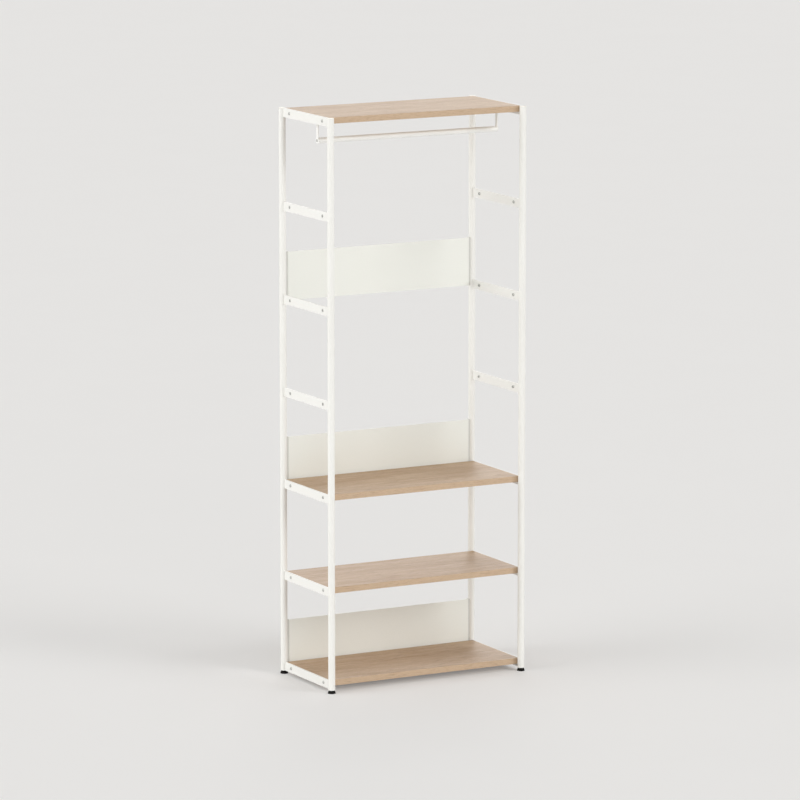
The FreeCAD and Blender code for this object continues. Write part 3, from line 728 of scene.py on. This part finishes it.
class RACK_OT_coat_panels(bpy.types.Operator):
    """Powder coat on the folded back panels, and the soft strips at their ends"""
    bl_idname = "rack.coat_panels"
    bl_label = "Coat Back Panels"

    def execute(self, context):
        # The strips' grey is partly painted shade for the dark groove between each panel's end and its tube.
        soft = moulded_plastic("extruded_grey_soft_pvc", colours().strip, roughness=0.6)
        paint(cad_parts["panel_spacers"], soft)
        coat = powder_coated_steel("powder_coated_sheet", colours().sheet, colours().sheet_shade,
                                   grain_mm=4, dent=0.06)
        for name in PANELS:
            paint(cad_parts[name + "_back_panel"], coat)
        return {"FINISHED"}


class RACK_OT_veneer_boards(bpy.types.Operator):
    """Lacquered oak on the four boards"""
    bl_idname = "rack.veneer_boards"
    bl_label = "Veneer Boards"

    def execute(self, context):
        half_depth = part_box("top_shelf")[1].y
        oak = lacquered_oak("lacquered_oak_veneer", colours(), half_depth)
        for name in SHELVES:
            paint(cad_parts[name], oak)
        return {"FINISHED"}


class RACK_OT_make_caps(bpy.types.Operator):
    """Moulded caps on top of the four uprights"""
    bl_idname = "rack.make_caps"
    bl_label = "Make Caps"

    def execute(self, context):
        plastic = moulded_plastic("moulded_white_polypropylene", colours().white_plastic, roughness=0.45)
        low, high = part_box(CORNERS[0] + "_upright")
        radius = (high.x - low.x) / 2
        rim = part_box(CORNERS[0] + "_cap")[1].z - high.z
        cap = model_cap(fittings(), radius, radius - TUBE_WALL - PLUG_CLEARANCE, rim)
        paint(cap, plastic)
        for corner in CORNERS:
            middle = middle_of(corner + "_upright")
            piece = copy_to(cap, corner + "_moulded_cap",
                            Matrix.Translation((middle.x, middle.y, high.z)))
            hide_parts(corner + "_cap")
            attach(piece, RACK)
        discard(cap)
        paint(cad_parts["rail_end_plugs"], plastic)
        return {"FINISHED"}


class RACK_OT_make_feet(bpy.types.Operator):
    """Ribbed levelling feet with threaded stems, and the plugs that they turn in"""
    bl_idname = "rack.make_feet"
    bl_label = "Make Levelling Feet"

    def execute(self, context):
        plastic = moulded_plastic("moulded_black_polypropylene", colours().black_plastic,
                                  roughness=0.6, shine=0.15)
        zinc = zinc_plated_steel("zinc_plated_stem", colours().zinc)
        low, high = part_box(CORNERS[0] + "_foot_pad")
        stem_low, stem_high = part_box(CORNERS[0] + "_foot_stem")
        stem_radius = (stem_high.x - stem_low.x) / 2
        pad = model_pad(fittings(), (high.x - low.x) / 2, PAD_TOP_RADIUS, high.z,
                        stem_radius + STEM_CLEARANCE, stem_low.z - STEM_END_GAP)
        paint(pad, plastic)
        stem = model_stem(fittings(), stem_radius, stem_low.z, stem_high.z)
        paint(stem, zinc)
        for corner in CORNERS:
            middle = middle_of(corner + "_foot_pad")
            spot = Matrix.Translation((middle.x, middle.y, 0))
            for source, name, node, slot in ((pad, "_ribbed_foot", "_foot_pad", "black_plastic"),
                                             (stem, "_threaded_stem", "_foot_stem", "zinc_plated_steel")):
                piece = copy_to(source, corner + name, spot)
                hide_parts(corner + node)
                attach(piece, corner + "_foot")
            paint(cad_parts[corner + "_foot_insert"], plastic)
        discard(pad)
        discard(stem)
        return {"FINISHED"}


class RACK_OT_make_shelf_screws(bpy.types.Operator):
    """Button-head screws through the rungs and the sleeves that they run into"""
    bl_idname = "rack.make_shelf_screws"
    bl_label = "Make Shelf Screws"

    def execute(self, context):
        zinc = screw_zinc()
        head = SHELF_SCREW.head_radius
        screw = model_screw(fittings(), SHELF_SCREW)
        paint(screw, zinc)
        for shelf in SHELVES:
            low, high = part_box(shelf + "_screws")
            places = []
            for sign in SIDES.values():
                seat = sign * (high.x - SHELF_SCREW.head_height)
                for y in (low.y + head, high.y - head):
                    places.append((Vector((seat, y, (low.z + high.z) / 2)), (sign, 0, 0)))
            piece = set_of(shelf + "_button_screws", screw, places)
            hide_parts(shelf + "_screws")
            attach(piece, RACK)
            paint(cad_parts[shelf + "_sleeves"], zinc)
        discard(screw)
        return {"FINISHED"}


class RACK_OT_make_inserts(bpy.types.Operator):
    """Threaded inserts riveted into the bare rungs"""
    bl_idname = "rack.make_inserts"
    bl_label = "Make Rung Inserts"

    def execute(self, context):
        zinc = screw_zinc()
        low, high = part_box("rung_inserts")
        flange = (high.y - low.y - RUNG_HOLE_SPACING) / 2
        face = high.x - INSERT_FLANGE
        insert = model_insert(flange, INSERT_FLANGE, RUNG_THICKNESS,
                              radius=4.5 * MM, bore=2.5 * MM, depth=8 * MM)
        paint(insert, zinc)
        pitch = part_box("left_rung_2")[1].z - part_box("left_rung_3")[1].z
        places = []
        for sign in SIDES.values():
            for number in range(BARE_RUNGS):
                for end in (-1, 1):
                    height = high.z - flange - number * pitch
                    spot = Vector((sign * face, end * RUNG_HOLE_SPACING / 2, height))
                    places.append((spot, (sign, 0, 0)))
        piece = set_of("rung_rivet_nuts", insert, places)
        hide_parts("rung_inserts")
        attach(piece, RACK)
        discard(insert)
        return {"FINISHED"}


class RACK_OT_make_panel_screws(bpy.types.Operator):
    """Pan-head screws that hold the panels' folded ends"""
    bl_idname = "rack.make_panel_screws"
    bl_label = "Make Panel Screws"

    def execute(self, context):
        zinc = screw_zinc()
        head = PANEL_SCREW.head_radius
        screw = model_screw(fittings(), PANEL_SCREW)
        paint(screw, zinc)
        for name in PANELS:
            node = name + "_panel_screws"
            low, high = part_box(node)
            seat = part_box(name + "_back_panel")[1].x - SHEET_THICKNESS
            places = []
            for sign in SIDES.values():
                for z in (low.z + head, high.z - head):
                    places.append((Vector((sign * seat, (low.y + high.y) / 2, z)), (-sign, 0, 0)))
            piece = set_of(name + "_pan_screws", screw, places)
            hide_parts(node)
            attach(piece, RACK)
        discard(screw)
        return {"FINISHED"}


class RACK_OT_make_rail_screws(bpy.types.Operator):
    """Screws at the rail's ends and under the top board"""
    bl_idname = "rack.make_rail_screws"
    bl_label = "Make Rail Screws"

    def execute(self, context):
        zinc = screw_zinc()
        middle = middle_of("rail_end_screws")
        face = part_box("right_rail_bracket")[1].x
        end = model_screw(fittings(), RAIL_SCREW)
        paint(end, zinc)
        ends = set_of("rail_button_screws", end,
                      [(Vector((sign * face, middle.y, middle.z)), (sign, 0, 0)) for sign in SIDES.values()])
        wood = model_screw(fittings(), WOOD_SCREW)
        paint(wood, zinc)
        low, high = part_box("bracket_wood_screws")
        seat = low.z + WOOD_SCREW.head_height
        outer = high.x - WOOD_SCREW.head_radius
        places = [(Vector((sign * x, (low.y + high.y) / 2, seat)), (0, 0, -1))
                  for sign in SIDES.values() for x in (outer, outer - WOOD_SCREW_SPACING)]
        unders = set_of("bracket_pan_screws", wood, places)
        for piece, node in ((ends, "rail_end_screws"), (unders, "bracket_wood_screws")):
            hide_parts(node)
            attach(piece, RACK)
        discard(end)
        discard(wood)
        return {"FINISHED"}


class RACK_OT_set_stage(bpy.types.Operator):
    """Floor, lamps, surrounding light and camera"""
    bl_idname = "rack.set_stage"
    bl_label = "Set Stage"

    def execute(self, context):
        studio = context.scene.rack_studio
        select_only()
        bpy.ops.mesh.primitive_plane_add(size=FLOOR_SIZE, location=(0, 0, 0))
        floor = bpy.context.object
        floor.name = "studio_floor"
        paint(floor, painted_floor("flat_emulsion_floor", colours().floor, colours().air, studio.haze))
        place_lamps(studio)
        context.scene.world = studio_world(colours().air, studio.around)
        context.scene.camera = place_camera(studio)
        context.scene.view_settings.view_transform = "Standard"
        return {"FINISHED"}


class RACK_PT_looks(bpy.types.Panel):
    """The rack's steps and settings in the sidebar"""
    bl_label = "Clothes Rack"
    bl_space_type = "VIEW_3D"
    bl_region_type = "UI"
    bl_category = "Rack"

    def draw(self, context):
        for step in STEPS:
            self.layout.operator(step.bl_idname)
        for group in (context.scene.rack_colours, context.scene.rack_fittings, context.scene.rack_studio):
            box = self.layout.box()
            for name in group.__annotations__:
                box.prop(group, name)


STEPS = (RACK_OT_coat_steel, RACK_OT_coat_panels, RACK_OT_veneer_boards, RACK_OT_make_caps, RACK_OT_make_feet,
         RACK_OT_make_shelf_screws, RACK_OT_make_inserts, RACK_OT_make_panel_screws, RACK_OT_make_rail_screws,
         RACK_OT_set_stage)
CLASSES = (RackColours, RackFittings, RackStudio, *STEPS, RACK_PT_looks)


def register():
    for item in CLASSES:
        bpy.utils.register_class(item)
    bpy.types.Scene.rack_colours = PointerProperty(type=RackColours)
    bpy.types.Scene.rack_fittings = PointerProperty(type=RackFittings)
    bpy.types.Scene.rack_studio = PointerProperty(type=RackStudio)


def unregister():
    del bpy.types.Scene.rack_studio
    del bpy.types.Scene.rack_fittings
    del bpy.types.Scene.rack_colours
    for item in reversed(CLASSES):
        bpy.utils.unregister_class(item)


def main():
    register()
    bpy.ops.rack.coat_steel()
    bpy.ops.rack.coat_panels()
    bpy.ops.rack.veneer_boards()
    bpy.ops.rack.make_caps()
    bpy.ops.rack.make_feet()
    bpy.ops.rack.make_shelf_screws()
    bpy.ops.rack.make_inserts()
    bpy.ops.rack.make_panel_screws()
    bpy.ops.rack.make_rail_screws()
    bpy.ops.rack.set_stage()


if __name__ == "__main__":
    main()
